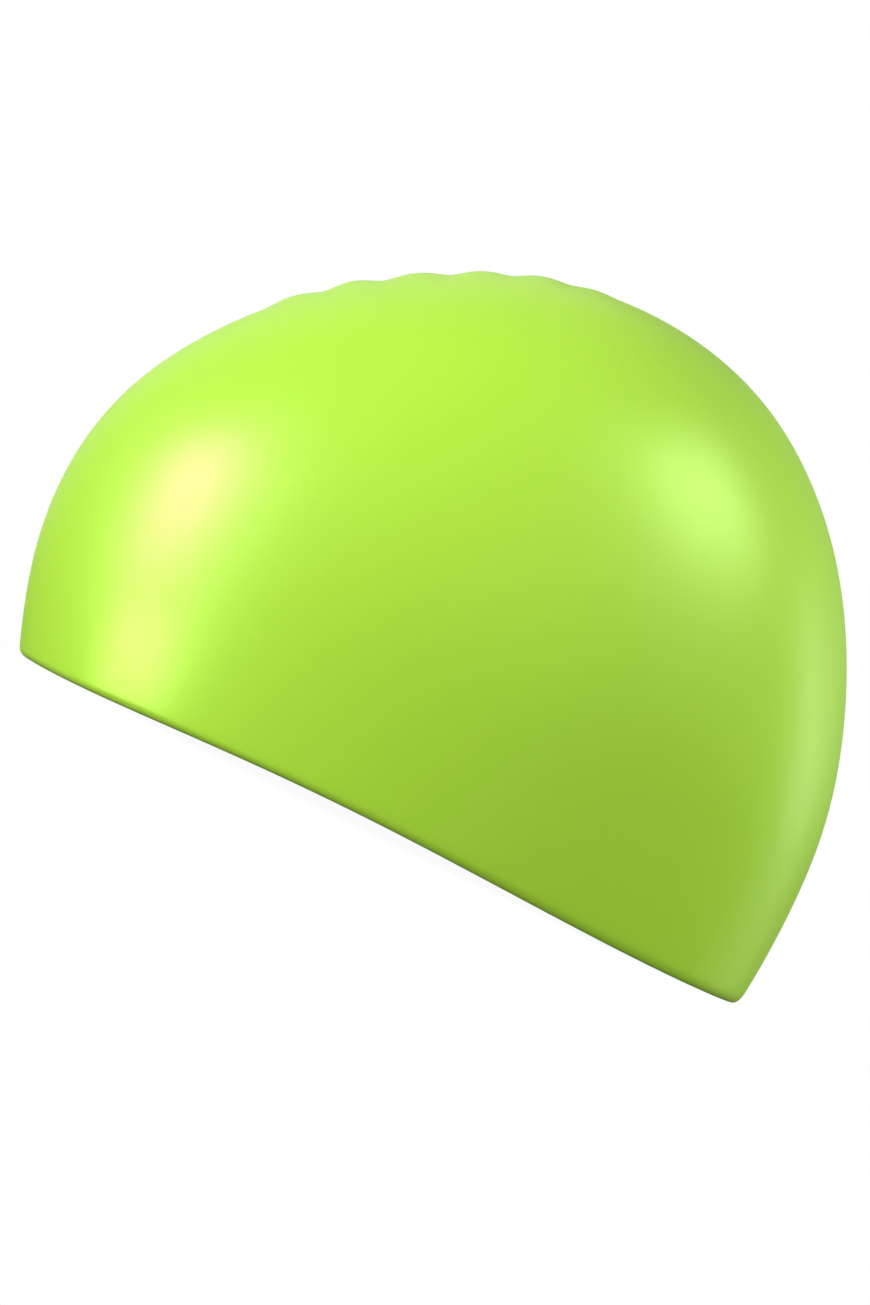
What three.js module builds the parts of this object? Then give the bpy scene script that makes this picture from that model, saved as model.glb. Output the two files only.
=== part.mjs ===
// A moulded silicone swim cap, in one piece, standing on its rim.
// Millimetres. +Z is up, the forehead is towards -Y, the nape towards +Y, the ears towards +X and -X.
// The origin is under the middle of the cap, on the surface that it stands on.
import * as THREE from "three";

// Overall sizes of the dome, outside
const capLength = 202.9; // forehead to the back of the head
const capBreadth = 156; // ear side to ear side
const capHeight = 139.6; // front of the rim to the highest point, without the folds
const apexFromFront = 109; // how far the highest point lies behind the foremost one

// The moulded wall and the thicker hem along the rim
const wallThickness = 1;
const hemThickness = 3;
const hemHeight = 13; // the wall thins from the hem's thickness to its own over this height
const edgeRoundFront = 1.6; // height of the rounded edge at the forehead
const edgeRoundBack = 3.2; // and at the nape

// The rim isn't level: it rises over the ears, and dips a little at four places, on which the cap stands
const earRise = 2.53;
const cornerDip = 0.87;
const rimLean = 0.49; // how much stronger both are towards the forehead
const rimFade = 3; // how fast the rise and the dips fade upwards

// The soft folds that run from side to side across the crown
const foldHeight = 1;
const foldSpacing = 15; // along the crown, from fold to fold
const foldReach = 28; // how far a full fold runs out to each side
const foldSharpness = 1.4; // above 1 a fold is narrower than the crease beside it
const foldCentreForward = 10.8; // the folds lie around a line through the head, this far before the apex
const foldCentreUp = 43.2; // and this far above the rim

// The dome, level by level, from the rim to the apex in equal angles. Each value is a share of the
// ellipsoid with the overall sizes: its reach before and behind the apex, and its half breadth.
// Taper is the share by which the front is narrower than the middle, and the back wider.
const domeLevels = [
  { front: 0.914, back: 0.982, side: 0.936, taper: 0.04 },
  { front: 1.002, back: 1.012, side: 0.992, taper: 0.06 },
  { front: 1.065, back: 1.047, side: 1.064, taper: 0.08 },
  { front: 1.102, back: 1.061, side: 1.13, taper: 0.09 },
  { front: 1.101, back: 1.073, side: 1.183, taper: 0.09 },
  { front: 1.088, back: 1.091, side: 1.237, taper: 0.08 },
  { front: 1.044, back: 1.107, side: 1.28, taper: 0.06 },
  { front: 1.008, back: 1.144, side: 1.3, taper: 0.04 },
  { front: 1.028, back: 1.186, side: 1.31, taper: 0.02 },
  { front: 1.031, back: 1.198, side: 1.314, taper: 0 },
];

// The folds, from the forehead to the apex. At and width are in fold spacings, counted forwards from
// straight above the line that they lie around. Height and reach are shares of a full fold's.
const crownFolds = [
  { at: 5.3, width: 1.05, height: 0.85, reach: 0.75 },
  { at: 4.26, width: 1.0, height: 1.05, reach: 0.9 },
  { at: 3.16, width: 1.15, height: 1.0, reach: 1.0 },
  { at: 2.08, width: 1.03, height: 0.92, reach: 1.0 },
  { at: 1.09, width: 0.97, height: 0.8, reach: 0.9 },
  { at: 0.185, width: 0.81, height: 0.42, reach: 0.7 },
];

// How finely the faces are divided
const meridians = 48;
const crownRings = 32; // over the crown, where the folds are
const crownLevel = 0.5; // where the crown starts, as a share of the way from the rim to the apex
const lowerRings = 8; // from the hem to the start of the crown
const hemRings = 3; // where the wall thins, inside
const edgeRings = 8; // round the edge

const quarterTurn = Math.PI / 2;
const slopeStep = 1e-4;
const { lerp, smoothstep, clamp } = THREE.MathUtils;

// One column of the dome's table, at a level from 0 at the rim to 1 at the apex: a uniform cubic
// B-spline over its rows, which runs straight on below the rim and is mirrored at the apex.
function domeShare(column, level) {
  const values = domeLevels.map((row) => row[column]);
  const last = values.length - 1;
  const points = [2 * values[0] - values[1], ...values, values[last - 1]];
  const place = clamp(level, 0, 1) * last;
  const i = Math.min(Math.floor(place), last - 1);
  const t = place - i;
  const weights = [(1 - t) ** 3, 3 * t ** 3 - 6 * t ** 2 + 4, -3 * t ** 3 + 3 * t ** 2 + 3 * t + 1, t ** 3];
  return weights.reduce((sum, weight, k) => sum + (weight / 6) * points[i + k], 0);
}

// How far the rim lies above its plane. Around is the angle about the cap: 0 at the forehead, and
// half a turn at the nape.
function rimRise(around) {
  const rise = earRise * Math.sin(around) ** 2 - cornerDip * Math.sin(2 * around) ** 2;
  return rise * (1 + rimLean * Math.cos(around));
}

// How far the folds stand out at a point, from how far it lies before and above their line, and to the side.
function foldRise(before, above, side) {
  const spacingAngle = foldSpacing / (capHeight - foldCentreUp);
  const place = Math.atan2(before, above) / spacingAngle;
  let rise = 0;
  for (const fold of crownFolds) {
    const along = (place - fold.at) / fold.width;
    const across = side / (fold.reach * foldReach);
    if (Math.abs(along) >= 0.5 || Math.abs(across) >= 1) continue;
    const hump = Math.cos(Math.PI * along) ** foldSharpness;
    rise += foldHeight * fold.height * hump * Math.cos(quarterTurn * across) ** 2;
  }
  return rise;
}

// A point of the outer face: an ellipsoid with the reach of the dome's table, the rim's line and the folds.
function outerPoint(level, around) {
  const shrink = Math.cos(level * quarterTurn);
  const lift = Math.sin(level * quarterTurn);
  const front = apexFromFront * domeShare("front", level);
  const back = (capLength - apexFromFront) * domeShare("back", level);
  const side = (capBreadth / 2) * domeShare("side", level);
  const narrowing = 1 - domeShare("taper", level) * Math.cos(around);
  const x = side * shrink * Math.sin(around) * narrowing;
  const y = shrink * ((back - front) / 2 - ((back + front) / 2) * Math.cos(around));
  const z = capHeight * lift + rimRise(around) * (1 - lift) ** rimFade;
  const fromLine = new THREE.Vector3(0, y + foldCentreForward, z - foldCentreUp);
  const rise = foldRise(-fromLine.y, fromLine.z, x);
  return new THREE.Vector3(x, y, z).addScaledVector(fromLine.normalize(), rise);
}

// The outer face's normal there, pointing out of the cap.
function outwardNormal(level, around) {
  const below = outerPoint(Math.max(level - slopeStep, 0), around);
  const above = outerPoint(Math.min(level + slopeStep, 1), around);
  const before = outerPoint(level, around - slopeStep);
  const after = outerPoint(level, around + slopeStep);
  return after.sub(before).cross(above.sub(below)).normalize();
}

// The level of a height above the rim's plane.
function levelAt(height) {
  return Math.asin(height / capHeight) / quarterTurn;
}

// The height of the rounded edge.
function edgeRound(around) {
  return lerp(edgeRoundBack, edgeRoundFront, (1 + Math.cos(around)) / 2);
}

// The wall's section as rings, from the apex outside, round the rim's edge, to the apex inside. A ring
// gives its level and its depth behind the outer face, at each angle about the cap. The depth is square
// to the face where square is 1, and level in the hem, where it is 0.
function sectionRings() {
  const dome = [];
  for (let i = crownRings - 1; i >= 0; i -= 1) dome.push(lerp(crownLevel, 1, i / crownRings));
  for (let i = lowerRings - 1; i >= 0; i -= 1) dome.push(lerp(levelAt(hemHeight), crownLevel, i / lowerRings));
  const outside = dome.map((level) => () => ({ level, depth: 0, square: 1 }));
  const inside = dome.map((level) => () => ({ level, depth: wallThickness, square: 1 })).reverse();

  const edge = [];
  for (let i = 0; i <= edgeRings; i += 1) {
    const turn = (Math.PI * i) / edgeRings;
    edge.push((around) => ({
      level: levelAt(edgeRound(around) * (1 - Math.sin(turn))),
      depth: (hemThickness / 2) * (1 - Math.cos(turn)),
      square: 0,
    }));
  }
  const thinning = [];
  for (let i = 1; i < hemRings; i += 1) {
    const share = i / hemRings;
    thinning.push((around) => ({
      level: levelAt(lerp(edgeRound(around), hemHeight, share)),
      depth: lerp(hemThickness, wallThickness, smoothstep(share, 0, 1)),
      square: share,
    }));
  }
  return [...outside, ...edge, ...thinning, ...inside];
}

// A closed shell: rings of points about the cap, joined by faces, with a fan of them at each apex.
function capGeometry() {
  const rings = sectionRings();
  const positions = [];
  const faces = [];
  for (const ring of rings) {
    for (let j = 0; j < meridians; j += 1) {
      const around = (2 * Math.PI * j) / meridians;
      const { level, depth, square } = ring(around);
      const outward = outwardNormal(level, around);
      outward.setZ(outward.z * square).normalize();
      positions.push(...outerPoint(level, around).addScaledVector(outward, -depth));
    }
  }
  for (let i = 0; i + 1 < rings.length; i += 1) {
    for (let j = 0; j < meridians; j += 1) {
      const here = i * meridians + j;
      const beside = i * meridians + ((j + 1) % meridians);
      faces.push(here, beside + meridians, beside);
      faces.push(here, here + meridians, beside + meridians);
    }
  }
  const apex = outerPoint(1, 0);
  const outerApex = positions.length / 3;
  const innerApex = outerApex + 1;
  positions.push(...apex, apex.x, apex.y, apex.z - wallThickness);
  const lastRing = (rings.length - 1) * meridians;
  for (let j = 0; j < meridians; j += 1) {
    const next = (j + 1) % meridians;
    faces.push(outerApex, j, next);
    faces.push(innerApex, lastRing + next, lastRing + j);
  }
  const geometry = new THREE.BufferGeometry();
  geometry.setAttribute("position", new THREE.Float32BufferAttribute(positions, 3));
  geometry.setIndex(faces);
  geometry.computeVertexNormals();
  return geometry;
}

// Stands a mesh on the surface, with the middle of its length over the origin.
function standAtOrigin(mesh) {
  mesh.geometry.computeBoundingBox();
  const { min, max } = mesh.geometry.boundingBox;
  mesh.position.set(0, -(min.y + max.y) / 2, -min.z);
}

const limeSilicone = new THREE.MeshStandardMaterial({ color: 0xb9f050, roughness: 0.45, metalness: 0 });

const cap = new THREE.Mesh(capGeometry(), limeSilicone);
cap.name = "cap";
standAtOrigin(cap);

const swimCap = new THREE.Group();
swimCap.add(cap);

export default swimCap;
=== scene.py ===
import math
import bpy
import numpy as np
from mathutils import Matrix, Quaternion, Vector


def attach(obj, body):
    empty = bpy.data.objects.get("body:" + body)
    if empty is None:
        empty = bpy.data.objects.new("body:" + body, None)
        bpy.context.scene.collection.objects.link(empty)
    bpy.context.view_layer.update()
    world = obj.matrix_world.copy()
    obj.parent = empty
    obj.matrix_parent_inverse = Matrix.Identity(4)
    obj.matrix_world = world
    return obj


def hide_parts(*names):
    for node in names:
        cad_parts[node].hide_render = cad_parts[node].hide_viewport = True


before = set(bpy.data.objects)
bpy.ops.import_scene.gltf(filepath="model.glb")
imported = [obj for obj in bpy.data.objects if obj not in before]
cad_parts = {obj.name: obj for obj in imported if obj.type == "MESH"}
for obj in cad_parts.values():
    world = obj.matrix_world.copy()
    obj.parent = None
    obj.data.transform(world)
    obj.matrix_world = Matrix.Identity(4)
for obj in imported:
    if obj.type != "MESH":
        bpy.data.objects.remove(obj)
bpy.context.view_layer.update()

mm = 0.001  # the cap's sizes are in millimetres, and all others in metres


# The cap's shape. The sizes are the real object's own, and the tables hold shares of them.
cap = dict(
    length=202.9,  # forehead to the back of the head
    breadth=156.0,
    height=139.6,
    apexFromFront=109.0,
    wall=1.0,
    hem=3.0,  # thickness along the rim
    hemHeight=13.0,
    edgeRoundFront=1.6,  # height of the rounded edge at the forehead
    edgeRoundBack=3.2,  # and at the nape
    earRise=2.53,
    cornerDip=0.87,
    rimLean=0.49,  # how much stronger both are towards the forehead
    rimFade=3,  # how fast both fade upwards
    foldHeight=1.0,
    foldSpacing=15.0,
    foldReach=28.0,
    foldSharpness=1.4,
    foldCentre=(-10.8, 43.2),  # Y from the apex and Z above the rim, of the line the folds lie around
    meridians=288,
    crownLevel=0.5,  # where the crown starts, from 0 at the rim to 1 at the apex
    outerRings=(110, 40),  # over the crown, and below it to the hem
    innerRings=(60, 24),
    hemRings=7,
    edgeRings=19,
)

# front, back, side, taper: one row for each level, from the rim to the apex
domeLevels = np.array([
    (0.914, 0.982, 0.936, 0.04),
    (1.002, 1.012, 0.992, 0.06),
    (1.065, 1.047, 1.064, 0.08),
    (1.102, 1.061, 1.130, 0.09),
    (1.101, 1.073, 1.183, 0.09),
    (1.088, 1.091, 1.237, 0.08),
    (1.044, 1.107, 1.280, 0.06),
    (1.008, 1.144, 1.300, 0.04),
    (1.028, 1.186, 1.310, 0.02),
    (1.031, 1.198, 1.314, 0.00),
])

# place in spacings, width in spacings, share of the height, share of the reach: forehead to apex
crownFolds = [
    (5.30, 1.05, 0.85, 0.75),
    (4.26, 1.00, 1.05, 0.90),
    (3.16, 1.15, 1.00, 1.00),
    (2.08, 1.03, 0.92, 1.00),
    (1.09, 0.97, 0.80, 0.90),
    (0.185, 0.81, 0.42, 0.70),
]


def domeShares(level):
    # A uniform cubic B-spline over the table's rows. It runs straight on below the rim and is
    # mirrored at the apex.
    last = len(domeLevels) - 1
    rows = np.vstack([2 * domeLevels[0] - domeLevels[1], domeLevels, domeLevels[-2]])
    place = np.clip(level, 0, 1) * last
    i = np.minimum(place.astype(int), last - 1)
    t = (place - i)[..., None]
    weights = ((1 - t) ** 3, 3 * t**3 - 6 * t**2 + 4, -3 * t**3 + 3 * t**2 + 3 * t + 1, t**3)
    return sum(w / 6 * rows[i + k] for k, w in enumerate(weights))


def outerFace(level, around):
    # Level runs from 0 at the rim to 1 at the apex, and around from 0 at the forehead to pi at the nape.
    # Each level is an oval, narrower at the front by its taper, whose reach is the table's share of an
    # ellipsoid. The rim's line is a rise over the ears less four dips, which fades upwards. The folds
    # push the face out from a line across the head: a row of cosine humps that fade to the sides.
    front, back, side, taper = np.moveaxis(domeShares(level), -1, 0)
    front = front * cap["apexFromFront"]
    back = back * (cap["length"] - cap["apexFromFront"])
    side = side * cap["breadth"] / 2
    shrink, lift = np.cos(level * np.pi / 2), np.sin(level * np.pi / 2)
    x = side * shrink * np.sin(around) * (1 - taper * np.cos(around))
    y = shrink * ((back - front) / 2 - (back + front) / 2 * np.cos(around))
    rise = cap["earRise"] * np.sin(around) ** 2 - cap["cornerDip"] * np.sin(2 * around) ** 2
    z = cap["height"] * lift + rise * (1 + cap["rimLean"] * np.cos(around)) * (1 - lift) ** cap["rimFade"]
    before, above = cap["foldCentre"][0] - y, z - cap["foldCentre"][1]
    place = np.arctan2(before, above) * (cap["height"] - cap["foldCentre"][1]) / cap["foldSpacing"]
    push = np.zeros_like(x)
    for at, width, height, reach in crownFolds:
        along = np.clip((place - at) / width, -0.5, 0.5)
        across = np.clip(x / (reach * cap["foldReach"]), -1, 1)
        hump = np.abs(np.cos(np.pi * along)) ** cap["foldSharpness"]
        push += cap["foldHeight"] * height * hump * np.cos(np.pi / 2 * across) ** 2
    away = np.maximum(np.hypot(before, above), 1e-6)
    return np.stack([x, y - push * before / away, z + push * above / away], -1)


def outward(level, around):
    # The face's normal, as the cross product of its two slopes.
    step = 1e-4
    turn = outerFace(level, around + step) - outerFace(level, around - step)
    climb = outerFace(np.minimum(level + step, 1), around) - outerFace(np.maximum(level - step, 0), around)
    normal = np.cross(turn, climb)
    return normal / np.linalg.norm(normal, axis=-1, keepdims=True)


def capSurface():
    # The wall's section as rings: down the outer face from the apex, round the rim's edge in half an
    # ellipse, and up the inner face. Each ring has a level, a depth behind the outer face and how
    # square to the face that depth is: level round the edge, and square from the hem's top upwards.
    # Returns the points (rings, meridians, 3) and the outer and the inner apex.
    around = np.linspace(0, 2 * np.pi, cap["meridians"], endpoint=False)[None, :]
    frontShare = (1 + np.cos(around)) / 2
    edgeRound = cap["edgeRoundBack"] + (cap["edgeRoundFront"] - cap["edgeRoundBack"]) * frontShare

    def levelAt(height):
        return np.arcsin(height / cap["height"]) * 2 / np.pi

    def column(values):
        return np.asarray(values, float)[:, None]

    def dome(crownRings, lowerRings):
        crown = np.linspace(1, cap["crownLevel"], crownRings + 1)[1:]
        lower = np.linspace(cap["crownLevel"], levelAt(cap["hemHeight"]), lowerRings + 1)[1:]
        return column([*crown, *lower])

    outer, inner = dome(*cap["outerRings"]), dome(*cap["innerRings"])[::-1]
    # Through the hem, from its top to the rounded edge.
    share = column(np.linspace(0, 1, cap["hemRings"] + 2)[1:-1])
    hemHeight = cap["hemHeight"] + (edgeRound - cap["hemHeight"]) * share
    thinning = cap["wall"] + (cap["hem"] - cap["wall"]) * (share**2 * (3 - 2 * share))
    turn = column(np.linspace(0, np.pi, cap["edgeRings"]))
    sections = [
        (outer, 0 * outer, 1 + 0 * outer),
        (levelAt(hemHeight), 0 * share, 1 + 0 * share),
        (levelAt(edgeRound * (1 - np.sin(turn))), cap["hem"] / 2 * (1 - np.cos(turn)), 0 * turn),
        (levelAt(hemHeight[::-1]), thinning[::-1], 1 - share[::-1]),
        (inner, cap["wall"] + 0 * inner, 1 + 0 * inner),
    ]
    level, depth, square = (np.vstack([s[i] + 0 * around for s in sections]) for i in range(3))
    points, normal = outerFace(level, around + 0 * level), outward(level, around + 0 * level)
    normal[..., 2] *= square
    normal /= np.linalg.norm(normal, axis=-1, keepdims=True)
    points = points - depth[..., None] * normal
    top = outerFace(np.ones(1), np.zeros(1))
    return points, top, top - [0, 0, cap["wall"]]


def shellMesh(name, rings, first, last):
    # Rings of points, closed round, with a fan to one point before the first ring and after the last.
    count, around = rings.shape[:2]
    points = np.vstack([rings.reshape(-1, 3), first, last])
    i, j = np.meshgrid(np.arange(count - 1), np.arange(around), indexing="ij")
    beside = (j + 1) % around
    here, below = i * around, (i + 1) * around
    quads = np.stack([here + j, below + j, below + beside, here + beside], -1)
    j = np.arange(around)
    beside = (j + 1) % around
    end = (count - 1) * around
    fanFirst = np.stack([0 * j + len(points) - 2, j, beside], -1)
    fanLast = np.stack([0 * j + len(points) - 1, end + beside, end + j], -1)
    faces = [*quads.reshape(-1, 4).tolist(), *fanFirst.tolist(), *fanLast.tolist()]
    mesh = bpy.data.meshes.new(name)
    mesh.from_pydata(points.tolist(), [], faces)
    mesh.shade_smooth()
    obj = bpy.data.objects.new(name, mesh)
    bpy.context.scene.collection.objects.link(obj)
    return obj


# A wrapped socket, so that shader maths reads as an expression.
class Socket:
    def __init__(self, material, link):
        self.material, self.link = material, link

    def maths(self, operation, *values):
        return self.material.node("ShaderNodeMath", dict(operation=operation), dict(enumerate(values)))

    def __add__(self, other):
        return self.maths("ADD", self, other)

    def __sub__(self, other):
        return self.maths("SUBTRACT", self, other)

    def __mul__(self, other):
        return self.maths("MULTIPLY", self, other)

    def __rsub__(self, other):
        return self.maths("SUBTRACT", other, self)

    __radd__, __rmul__ = __add__, __mul__


class Material:
    def __init__(self, name, tree=None):
        if tree is None:
            self.data = bpy.data.materials.new(name)
            self.data.use_nodes = True
            tree = self.data.node_tree
        self.tree = tree
        tree.nodes.clear()

    def node(self, kind, settings=None, values=None, output=0):
        # Makes one node: its settings first, then its sockets' values or links, by name or number.
        made = self.tree.nodes.new(kind)
        for key, value in (settings or {}).items():
            setattr(made, key, value)
        for key, value in (values or {}).items():
            if isinstance(value, Socket):
                self.tree.links.new(value.link, made.inputs[key])
            else:
                made.inputs[key].default_value = value
        return Socket(self, made.outputs[output]) if made.outputs else made


silicone = dict(
    colour=(0.465, 0.84, 0.052, 1),
    deeper=(0.455, 0.825, 0.048, 1),  # where the pigment lies a little thicker
    cloudSize=0.035,  # metres, of the pigment's clouds
    cloudDetail=3.0,
    roughness=0.38,
    roughnessSpread=0.02,
    metallic=0.06,  # tints the highlights as the pigment does
    ior=1.45,
    grainSize=0.0006,  # metres, of the mould's fine grain
    grainDetail=2.0,
    grainHeight=0.000004,
    subsurface=0.1,
    scatterDepth=0.0012,  # metres that light spreads inside
    scatterShares=(1.0, 1.0, 0.3),  # of that depth, for red, green and blue
)


def limeSilicone():
    m = Material("satin_silicone")
    place = m.node("ShaderNodeTexCoord", output="Object")
    clouds = m.node("ShaderNodeTexNoise", {}, {
        "Vector": place, "Scale": 1 / silicone["cloudSize"], "Detail": silicone["cloudDetail"]})
    grain = m.node("ShaderNodeTexNoise", {}, {
        "Vector": place, "Scale": 1 / silicone["grainSize"], "Detail": silicone["grainDetail"]})
    colour = m.node("ShaderNodeMix", dict(data_type="RGBA"), {
        0: clouds, 6: silicone["colour"], 7: silicone["deeper"]}, output=2)
    roughness = (clouds - 0.5) * (2 * silicone["roughnessSpread"]) + silicone["roughness"]
    bump = m.node("ShaderNodeBump", {}, {
        "Strength": 1.0, "Distance": silicone["grainHeight"], "Height": grain})
    shader = m.node("ShaderNodeBsdfPrincipled", {}, {
        "Base Color": colour, "Roughness": roughness, "Normal": bump,
        "Metallic": silicone["metallic"], "IOR": silicone["ior"],
        "Subsurface Weight": silicone["subsurface"],
        "Subsurface Radius": silicone["scatterShares"],
        "Subsurface Scale": silicone["scatterDepth"]})
    m.node("ShaderNodeOutputMaterial", {}, {"Surface": shader})
    return m.data


rings, outerTop, innerTop = capSurface()
lowest, foremost, backmost = rings[..., 2].min(), rings[..., 1].min(), rings[..., 1].max()
shift = np.array([0, -(foremost + backmost) / 2, -lowest])
shell = shellMesh("cap_shell", (rings + shift) * mm, (outerTop + shift) * mm, (innerTop + shift) * mm)
shell.data.materials.append(limeSilicone())
print("stage: shell made,", len(shell.data.vertices), "points, shift", shift.round(3))
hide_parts("cap")
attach(shell, "root")


studio = dict(
    floorSide=40.0,
    floorColour=(0.06, 0.06, 0.06, 1),
    floorGlow=0.95,  # the floor glows like a light table, so that only a faint shadow shows on it
    backdrop=1.0,  # what the camera sees behind the floor
    around=0.12,  # light from all round
    distance=1.2,  # of the soft boxes
    cardHeight=0.002,  # of the cards' middles above the floor
    cardAimShare=0.8,  # each card faces the point at this share of its own X and Y
    cardAimHeight=0.02,  # and at this height
)

# Directions are degrees from +X towards +Y, and degrees above the floor. The broad suns give the even
# light. The boxes, and the cards that stand half below the floor, show in the cap's highlights.
suns = [
    # name, turn, rise, softness in degrees, strength, whether it shows in highlights
    ("overhead", 0, 90, 170, 0.6, True),
    ("crown_side", 50, 50, 60, 0.75, True),
    ("camera_side", 10, 10, 40, 1.3, False),
    ("forehead_side", -80, 5, 40, 4.2, False),
    ("nape_side", 135, 5, 40, 1.9, False),
]
boxes = [
    # name, turn, rise, width, height, lean in degrees, watts, whether it shows in highlights alone
    ("forehead_box", -76, 8, 0.3, 0.5, 25, 10.0, True),
    ("crown_box", 70, 55, 0.8, 0.6, 0, 7.0, True),
    ("nape_box", 120, 15, 0.3, 0.6, 0, 1.1, False),
    ("back_box", -150, 20, 1.0, 1.2, 0, 1.5, True),
]
cards = [
    # name, x, y, side, watts
    ("far_card", 0.1, -0.22, 0.1, 0.14),
    ("rim_card", 0.062, -0.093, 0.03, 0.014),
]


def wayTo(turn, rise):
    a, e = math.radians(turn), math.radians(rise)
    return Vector((math.cos(e) * math.cos(a), math.cos(e) * math.sin(a), math.sin(e)))


def addLamp(name, kind, place, back, energy, lean=0.0):
    # Back is the way from the lamp's face to behind it, and lean turns it about that.
    lamp = bpy.data.objects.new(name, bpy.data.lights.new(name, kind))
    lamp.location = place
    leaning = Quaternion((0, 0, 1), math.radians(lean))
    lamp.rotation_euler = (back.to_track_quat("Z", "Y") @ leaning).to_euler()
    lamp.data.energy = energy
    lamp.visible_camera = False
    bpy.context.scene.collection.objects.link(lamp)
    return lamp


def addBox(name, place, back, width, height, watts, lean=0.0, highlightsAlone=True):
    lamp = addLamp(name, "AREA", place, back, watts, lean)
    lamp.data.shape, lamp.data.size, lamp.data.size_y = "RECTANGLE", width, height
    lamp.visible_diffuse = not highlightsAlone


def makeLights():
    for name, turn, rise, softness, strength, inHighlights in suns:
        lamp = addLamp(name, "SUN", (0, 0, 1), wayTo(turn, rise), strength)
        lamp.data.angle = math.radians(softness)
        lamp.visible_glossy = inHighlights
    middle = Vector((0, 0, cap["height"] * mm / 2))
    for name, turn, rise, width, height, lean, watts, highlightsAlone in boxes:
        way = wayTo(turn, rise)
        addBox(name, middle + way * studio["distance"], way, width, height, watts, lean, highlightsAlone)
    for name, x, y, side, watts in cards:
        place = Vector((x, y, studio["cardHeight"]))
        aim = Vector((studio["cardAimShare"] * x, studio["cardAimShare"] * y, studio["cardAimHeight"]))
        addBox(name, place, place - aim, side, side, watts)


def makeStage():
    half = studio["floorSide"] / 2
    mesh = bpy.data.meshes.new("floor")
    corners = [(-half, -half, 0), (half, -half, 0), (half, half, 0), (-half, half, 0)]
    mesh.from_pydata(corners, [], [(0, 1, 2, 3)])
    floor = bpy.data.objects.new("floor", mesh)
    bpy.context.scene.collection.objects.link(floor)
    m = Material("pale_floor")
    matt = m.node("ShaderNodeBsdfDiffuse", {}, {"Color": studio["floorColour"]})
    glow = m.node("ShaderNodeEmission", {}, {"Color": (1, 1, 1, 1), "Strength": studio["floorGlow"]})
    both = m.node("ShaderNodeAddShader", {}, {0: matt, 1: glow})
    m.node("ShaderNodeOutputMaterial", {}, {"Surface": both})
    mesh.materials.append(m.data)
    # The floor doesn't light the cap or mirror in it, so that the rim stays dark underneath.
    floor.visible_diffuse = floor.visible_glossy = False

    world = bpy.data.worlds.new("studio")
    world.use_nodes = True
    bpy.context.scene.world = world
    w = Material("studio", world.node_tree)
    seen = w.node("ShaderNodeLightPath", output="Is Camera Ray")
    white = w.node("ShaderNodeBackground", {}, {"Color": (1, 1, 1, 1), "Strength": studio["backdrop"]})
    light = w.node("ShaderNodeBackground", {}, {"Color": (1, 1, 1, 1), "Strength": studio["around"]})
    both = w.node("ShaderNodeMixShader", {}, {0: seen, 1: light, 2: white})
    w.node("ShaderNodeOutputWorld", {}, {"Surface": both})


makeLights()
makeStage()
print("stage: floor, world and lights")

# The photograph looks square at the cap's left side, low down, with the picture turned.
camera = dict(
    distance=2.0,
    y=-0.0025,
    height=0.0441,
    roll=26.08,  # degrees
    pixel=0.00024,  # metres on the cap's middle plane for one pixel of the 870 by 1305 picture
    sensor=36.0,
    pictureHeight=1305,
)


def makeCamera():
    data = bpy.data.cameras.new("camera")
    data.sensor_width = camera["sensor"]
    data.lens = camera["sensor"] * camera["distance"] / camera["pixel"] / camera["pictureHeight"]
    data.clip_start, data.clip_end = 0.1, 100.0
    obj = bpy.data.objects.new("camera", data)
    c, s = math.cos(math.radians(camera["roll"])), math.sin(math.radians(camera["roll"]))
    right, up, back = (0, c, s), (0, -s, c), (1, 0, 0)
    turned = Matrix((right, up, back)).transposed().to_4x4()
    obj.matrix_world = Matrix.Translation((camera["distance"], camera["y"], camera["height"])) @ turned
    bpy.context.scene.collection.objects.link(obj)
    bpy.context.scene.camera = obj


makeCamera()
bpy.context.scene.view_settings.view_transform = "Standard"
print("stage: camera")
